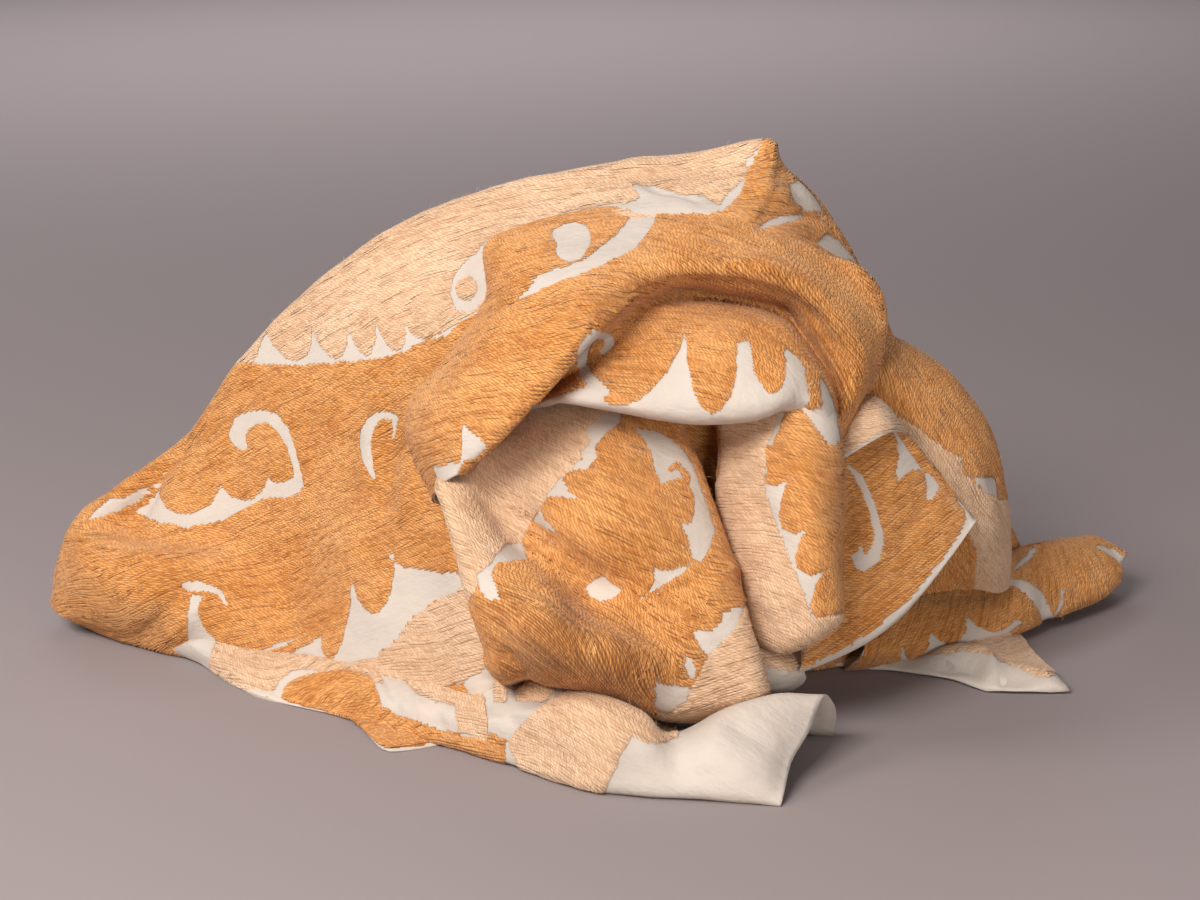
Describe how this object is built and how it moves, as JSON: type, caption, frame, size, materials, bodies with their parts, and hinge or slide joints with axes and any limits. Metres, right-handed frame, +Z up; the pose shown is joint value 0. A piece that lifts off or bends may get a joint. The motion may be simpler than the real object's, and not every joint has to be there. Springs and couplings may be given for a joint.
{
  "type": "suzani embroidered textile",
  "caption": "Heavy yarn-embroidered suzani cloth thrown down in a loose heap: a soft cover or wall textile at rest on a flat surface.",
  "frame": {"origin": "middle of the heap's bounding box, on the surface it lies on", "axes": "+X to the right along the front of the heap, its longest extent; +Y to the back; +Z up"},
  "size_m": [0.9204, 0.6446, 0.4217],
  "materials": {
    "embroidered_cotton": "matte laid cotton yarn on plain-weave cotton"
  },
  "bodies": {
    "root": {"suzani_cloth": "embroidered_cotton"}
  },
  "joints": []
}
